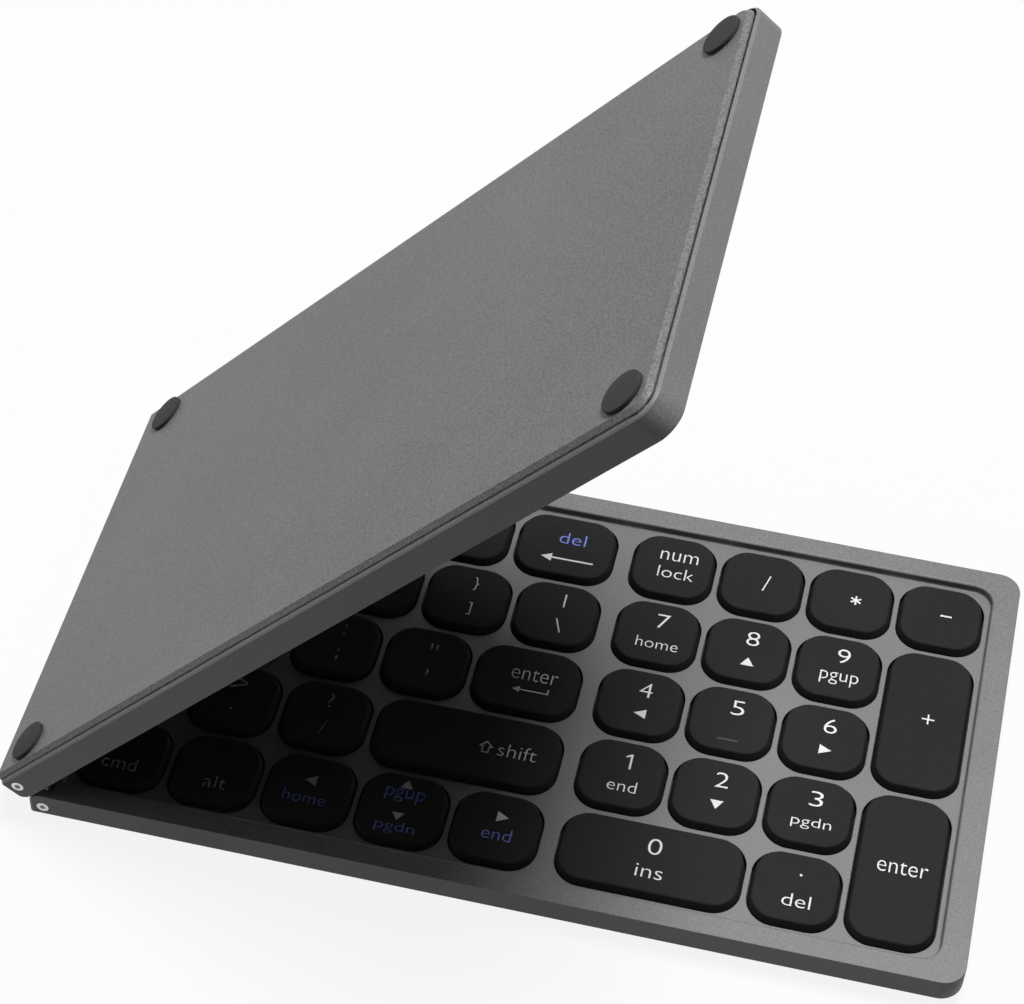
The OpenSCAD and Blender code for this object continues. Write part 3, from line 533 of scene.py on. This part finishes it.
# each node of keys: its keys, each with its legends
KEYS = {
    "key_num_lock": [(pad_key(0, 4), word("num", 7.8, 0.9, 2.7, 2.3) + word("lock", 7.4, 0.85, -1.65))],
    "key_divide": [(pad_key(1, 4), word("/", 1.4, 1.0, 0.3, 4.1))],
    "key_multiply": [(pad_key(2, 4), word("star", 2.2, 1.0, 0.3, 2.3))],
    "key_minus": [(pad_key(3, 4), word("minus", 2.3, 1.0, 0.6, 0.4))],
    "key_7": [(pad_key(0, 3), digit("7", "home", 8.5, 2.6))],
    "key_8": [(pad_key(1, 3), digit("8", "up", 2.7, 2.1))],
    "key_9": [(pad_key(2, 3), digit("9", "pgup", 7.7, 3.1))],
    "key_plus": [(pad_key(3, 2, 1, 2), word("+", 2.5, 0.8, 0.6, 2.4))],
    "key_4": [(pad_key(0, 2), digit("4", "left", 2.4, 2.3))],
    "key_5": [(pad_key(1, 2), digit("5") + [("bar", 0.0, -4.9, 4.0, 0.45, DARK_INK)])],
    "key_6": [(pad_key(2, 2), digit("6", "right", 2.4, 2.3))],
    "key_1": [(pad_key(0, 1), digit("one", "end", 5.7, 2.7))],
    "key_2": [(pad_key(1, 1), digit("2", "down", 2.6, 2.1))],
    "key_3": [(pad_key(2, 1), digit("3", "pgdn", 7.7, 3.0))],
    "key_pad_enter": [(pad_key(3, 0, 1, 2), word("enter", 9.6, 0.6, 0.2, 2.8))],
    "key_0": [(pad_key(0, 0, 2), word("0", 2.7, 0.35, 2.8, 3.6) + word("ins", 5.2, 0.25, -3.0))],
    "key_point": [(pad_key(2, 0), word("dot", 0.55, 0.6, 3.1, 0.55) + word("del", 5.4, 0.6, -2.75))],
    "key_backspace": [(BACK[0], word("del", 5.5, 1.0, 2.2, ink=BLUE_INK)
                       + word("long_left", 10.8, 0.85, -3.5, 2.1))],
    "key_backslash": [(TAB[0], word("rule", 0.35, 1.1, 3.6, 3.3) + word("\\", 1.6, 1.0, -2.9, 3.5))],
    "key_enter": [(HOME[0], word("enter", 9.3, 1.4, 1.3, 2.8) + word("return", 7.3, 1.25, -2.4, 1.9))],
    "key_shift": [(SHIFT[0], word("shift_up", 2.9, 3.8, 0.1, 3.0) + word("shift", 7.6, 10.0, 0.1, 3.1))],
    "key_right_end": [(FRONT[0], word("right", 2.3, 0.75, 2.5, 2.4)
                       + word("end", 5.7, 0.4, -1.5, 2.7, BLUE_INK))],
    "key_up_down": [(FRONT[1], word("up", 2.5, -0.2, 5.5, 1.9)
                     + word("pgup", 7.7, -0.15, 2.8, 3.0, BLUE_INK)
                     + word("down", 2.5, -0.4, -2.05, 1.8)
                     + word("pgdn", 7.7, -0.3, -4.75, 3.0, BLUE_INK))],
    "key_left_home": [(FRONT[2], word("left", 2.3, -0.1, 2.1, 2.4)
                       + word("home", 8.4, -0.3, -2.0, 2.6, BLUE_INK))],
    "keys_digits_and_o_p": [(BACK[1], pair("+", "=")), (BACK[2], pair("_", "minus")),
                            (BACK[3], pair(")", "0")), (BACK[4], pair("(", "9")),
                            (TAB[1], pair("}", "]", 1.1)), (TAB[2], pair("{", "[")),
                            (TAB[3], letter("P")), (TAB[4], letter("O"))],
    "keys_k_to_quote": [(HOME[1], pair("\"", "'")), (HOME[2], pair(":", ";")), (HOME[3], letter("L")),
                        (HOME[4], letter("K"))],
    "keys_comma_to_slash": [(SHIFT[1], pair("?", "/", 0.2)), (SHIFT[2], pair(">", "dot", 0.0)),
                            (SHIFT[3], pair("<", ",", 0.0))],
    "keys_cmd_alt": [(FRONT[3], word("alt", 4.4, 0.6, -2.7)), (FRONT[4], word("cmd", 6.8, 0.0, -2.7))],
    "lid_keys_bottom_row": [(LID[0][0], []), (LID[0][1], word("cmd", 6.8)), (LID[0][2], word("alt", 4.4)),
                            (LID[0][3], word("ctrl", 5.6)), (LID[0][4], word("fn", 3.6))],
    "lid_keys_shift_row": letters_of(LID[1], "MNBVCXZ") + [(LID[1][7], word("shift", 7.6))],
    "lid_keys_caps_row": letters_of(LID[2], "JHGFDSA") + [(LID[2][7], word("caps", 7.2, tall=3.1))],
    "lid_keys_tab_row": letters_of(LID[3], "IUYTREWQ") + [(LID[3][8], word("tab", 4.8))],
    "lid_keys_esc_row": [(key, pair(sign, number)) for key, sign, number
                         in zip(LID[4], ["star", *"&^%$#@!"], "87654321")]
    + [(LID[4][8], word("esc", 5.4, tall=2.3))],
}


# ---- legends -------------------------------------------------------------------------------
def triangle(turns):
    """A solid arrowhead that points right, turned by quarter turns."""
    turn = math.radians(90 * turns)
    return [[(math.cos(turn) * x - math.sin(turn) * y, math.sin(turn) * x + math.cos(turn) * y)
             for x, y in ((0.5, 0), (-0.5, 0.5), (-0.5, -0.5))]]


def box_of(x0, y0, x1, y1):
    return [(x0, y0), (x1, y0), (x1, y1), (x0, y1)]


def star(reach, thick):
    """An asterisk of six spokes in one outline: each spoke's blunt end, then the notch beside it."""
    points = []
    for spoke in range(6):
        a = math.radians(60 * spoke + 90)
        b = a + math.radians(30)
        for s in (-0.5, 0.5):
            points.append((reach * math.cos(a) - s * thick * math.sin(a),
                           reach * math.sin(a) + s * thick * math.cos(a)))
        points.append((thick * math.cos(b), thick * math.sin(b)))
    return [points]


# each sign's outlines, in mm
SIGNS = {
    "right": triangle(0), "up": triangle(1), "left": triangle(2), "down": triangle(3),
    "minus": [box_of(0, 0, 2.3, 0.4)], "bar": [box_of(0, 0, 4, 0.45)], "rule": [box_of(0, 0, 0.35, 3.3)],
    "dot": [[(math.cos(math.tau * i / 12), math.sin(math.tau * i / 12)) for i in range(12)]],
    "one": [box_of(0.9, 0, 1.3, 3.5), [(0, 2.6), (0.95, 3.0), (0.95, 3.5), (0, 2.95)]],
    "star": star(1.15, 0.36),
    "long_left": [[(0, 1.05), (2.2, 0), (2.2, 2.1)], box_of(2.1, 0.85, 10.8, 1.25)],
    "return": [[(0, 0.75), (1.5, 0), (1.5, 1.5)], box_of(1.4, 0.6, 7.3, 0.9), box_of(7.0, 0.8, 7.3, 1.9)],
    "shift_up": [[(1.45, 3), (0, 1.5), (0.5, 1.5), (1.45, 2.5)],
                 [(1.45, 3), (1.45, 2.5), (2.4, 1.5), (2.9, 1.5)],
                 box_of(0.3, 1.35, 0.95, 1.65), box_of(1.95, 1.35, 2.6, 1.65), box_of(0.7, 0, 1.0, 1.6),
                 box_of(1.9, 0, 2.2, 1.6), box_of(0.9, 0, 2.0, 0.3)],
}


def glyphs(mark):
    """The flat mesh of a sign or of lettering, as (points, faces)."""
    if mark in SIGNS:
        points = [p for shape in SIGNS[mark] for p in shape]
        faces, start = [], 0
        for shape in SIGNS[mark]:
            faces.append(tuple(range(start, start + len(shape))))
            start += len(shape)
        return points, faces
    text = bpy.data.curves.new("lettering", "FONT")
    text.body = mark
    text.resolution_u = 4
    text.offset = LETTER_OFFSET
    mesh = baked(put_in_scene("lettering", text), "lettering")
    points = [tuple(v.co.xy) for v in mesh.vertices]
    faces = [tuple(p.vertices) for p in mesh.polygons]
    bpy.data.meshes.remove(mesh)
    return points, faces


GLYPHS = {mark: glyphs(mark) for mark in sorted({
    legend[0] for keys in KEYS.values() for _, legends in keys for legend in legends})}


def laid_on(tops, mark, x, y, wide, tall):
    """The points of a mark of the given size, in mm, on the keys' dished tops."""
    flat = GLYPHS[mark][0]
    (left, right), (low, high) = [(min(p[k] for p in flat), max(p[k] for p in flat)) for k in (0, 1)]
    scale_y = tall / (high - low)
    scale_x = wide / (right - left) if wide else scale_y
    points = []
    for px, py in flat:
        above = Vector((x + (px - (left + right) / 2) * scale_x, y + (py - (low + high) / 2) * scale_y,
                        KEY_TOP + 1))
        hit = tops.ray_cast(above, Vector((0, 0, -1)))[0]
        points.append(Vector((above.x, above.y, hit.z + INK_T * (1 - INK_SUNK))))
    return points


def thicken(mesh):
    """Gives flat ink its thickness: a second, turned copy below it, and walls round the edge."""
    work = bmesh.new()
    work.from_mesh(mesh)
    bmesh.ops.remove_doubles(work, verts=work.verts, dist=1e-5)
    upper = list(work.edges)
    copy = bmesh.ops.duplicate(work, geom=work.verts[:] + work.edges[:] + work.faces[:])
    for part in copy["geom"]:
        if isinstance(part, bmesh.types.BMVert):
            part.co.z -= INK_T
    bmesh.ops.reverse_faces(work, faces=[g for g in copy["geom"] if isinstance(g, bmesh.types.BMFace)])
    for edge in [e for e in upper if e.is_boundary]:
        loop = edge.link_loops[0]
        a, b = loop.vert, loop.link_loop_next.vert
        work.faces.new((b, a, copy["vert_map"][a], copy["vert_map"][b]))
    work.to_mesh(mesh)
    work.free()


def legend_mesh(marks, tops, matrix):
    """Ink of one colour for the keys of a body: each mark is (what, x, y, width, height), in mm."""
    points, faces = [], []
    for mark, *place in marks:
        faces += [tuple(len(points) + i for i in face) for face in GLYPHS[mark][1]]
        points += laid_on(tops, mark, *place)
    mesh = bpy.data.meshes.new("legend")
    mesh.from_pydata(points, [], faces)
    thicken(mesh)
    mesh.transform(matrix)
    return mesh


def make_keys(node, keys):
    """The keycaps of one body, then their legends."""
    body = half_of(node)
    matrix, way = half_matrix(body), side(body)
    places = [(way * (x + w / 2), y + d / 2, 0, (w - KEY_W) / 2, (d - KEY_D) / 2)
              for (x, y, w, d), _ in keys]
    caps = set_out(node + "_caps", KEYCAP, places, KEY_ABS, Matrix.Identity(4))
    work = bmesh.new()
    work.from_mesh(caps)
    tops = BVHTree.FromBMesh(work)
    work.free()
    caps.transform(matrix)
    piece(node + "_caps", caps, node, "key_plastic", node)
    for ink, label in ((WHITE_INK, "white"), (BLUE_INK, "blue"), (DARK_INK, "dark")):
        marks = [(mark, place[0] + dx, place[1] + dy, wide, tall)
                 for place, (_, legends) in zip(places, keys)
                 for mark, dx, dy, wide, tall, colour in legends if colour == ink]
        if marks:
            mesh = legend_mesh(marks, tops, matrix)
            mesh.materials.append(ink)
            piece(node + "_legend_" + label, mesh, node, "key_plastic")


for node, keys in KEYS.items():
    make_keys(node, keys)


# ---- what gives way under the keys ---------------------------------------------------------
# each kind of part under the keys: its material, and the name of its slot
UNDER_KEYS = {"domes": (SILICONE, "dome_rubber"), "scissors": (ACETAL, "scissor_plastic")}


def under_keys(cad_node, body, keys, material):
    """The part of a CAD node that lies under the given keys."""
    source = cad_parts[cad_node].data
    home = half_matrix(body).inverted()
    work = bmesh.new()
    work.from_mesh(source)
    away = []
    for face in work.faces:
        at = home @ face.calc_center_median()
        at.x *= side(body)
        if not any(x < at.x < x + w and y < at.y < y + d for x, y, w, d in keys):
            away.append(face)
    bmesh.ops.delete(work, geom=away, context="FACES")
    bmesh.ops.remove_doubles(work, verts=work.verts, dist=1e-6)
    mesh = bpy.data.meshes.new(cad_node + "_part")
    work.to_mesh(mesh)
    work.free()
    mesh.materials.append(material)
    return mesh


def give_way(node, keys):
    """The domes and scissor frames under one node's keys, each kind as a piece with a mesh of its own."""
    body = half_of(node)
    for kind, (material, material_slot) in UNDER_KEYS.items():
        mesh = under_keys(body + "_" + kind, body, [key for key, _ in keys], material)
        made = piece(node + "_" + kind, mesh, body, material_slot, body + "_" + kind)
        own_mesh(made)


for node, keys in KEYS.items():
    give_way(node, keys)


# ---- studio --------------------------------------------------------------------------------
def seen(tree):
    """1 for what the camera sees, directly or in metal, and 0 for what lights the object."""
    ray = put(tree, "ShaderNodeLightPath")
    both = put(tree, "ShaderNodeMath", {0: ray.outputs["Is Camera Ray"], 1: ray.outputs["Is Glossy Ray"]},
               operation="MAXIMUM")
    return put(tree, "ShaderNodeMath", {0: both.outputs[0], 1: ray.outputs["Is Transmission Ray"]},
               operation="MAXIMUM").outputs[0]


def paper():
    """White paper, over-exposed where it is seen, so that only a faint shadow is left on it. It
    throws less light back at the object than it shows."""
    material = finish("matt_white_paper", "#ebebeb", "#efefef", 2.0, 200.0, rough=(0.8, 0.9))
    tree = material.node_tree
    last = next(n for n in tree.nodes if n.bl_idname == "ShaderNodeOutputMaterial")
    shade = last.inputs["Surface"].links[0].from_socket
    white = put(tree, "ShaderNodeEmission", {"Color": (1, 1, 1, 1), "Strength": 1.0})
    shown = put(tree, "ShaderNodeMixShader", {0: PAPER_WHITE, 1: shade, 2: white.outputs[0]})
    thrown = put(tree, "ShaderNodeBsdfDiffuse", {"Color": hexa("#646464")})
    mixed = put(tree, "ShaderNodeMixShader", {0: seen(tree), 1: thrown.outputs[0], 2: shown.outputs[0]})
    tree.links.new(mixed.outputs[0], last.inputs["Surface"])
    return material


def floor():
    """A plain pale floor under the feet."""
    mesh = bpy.data.meshes.new("floor")
    corners = ((-1, -1), (1, -1), (1, 1), (-1, 1))
    points = [(x * FLOOR_REACH, y * FLOOR_REACH, -FLOOR_LOW) for x, y in corners]
    mesh.from_pydata(points, [], [(0, 1, 2, 3)])
    mesh.materials.append(paper())
    put_in_scene("floor", mesh)


def lamp(name, place, aim, size, watts):
    light = bpy.data.lights.new(name, "AREA")
    light.shape = "RECTANGLE"
    light.size, light.size_y = size
    light.energy = watts
    made = put_in_scene(name, light)
    made.location = place
    made.rotation_euler = (Vector(aim) - Vector(place)).to_track_quat("-Z", "Y").to_euler()


def sky():
    """A dim even surround for the light, and plain white where it is seen or mirrored."""
    world = bpy.data.worlds.new("studio")
    world.use_nodes = True
    tree = world.node_tree
    tree.nodes.clear()
    dim = put(tree, "ShaderNodeBackground", {"Color": (1, 1, 1, 1), "Strength": SKY_DIM})
    white = put(tree, "ShaderNodeBackground", {"Color": (1, 1, 1, 1), "Strength": 1.0})
    mixed = put(tree, "ShaderNodeMixShader", {0: seen(tree), 1: dim.outputs[0], 2: white.outputs[0]})
    put(tree, "ShaderNodeOutputWorld", {"Surface": mixed.outputs[0]})
    bpy.context.scene.world = world


def camera():
    """Looks down at the keys from ahead and from the right, with the lid's back in view."""
    lens = bpy.data.cameras.new("camera")
    lens.sensor_width = 36
    lens.lens = LENS
    lens.clip_start = 0.01
    made = put_in_scene("camera", lens)
    turn = Matrix((CAMERA_RIGHT, -CAMERA_DOWN, -CAMERA_AHEAD)).transposed().to_4x4()
    made.matrix_world = Matrix.Translation(CAMERA_PLACE * MM) @ turn
    bpy.context.scene.camera = made


floor()
for name, (place, aim, size, watts) in LAMPS.items():
    lamp(name, place, aim, size, watts)
sky()
camera()
bpy.context.scene.view_settings.view_transform = "Standard"
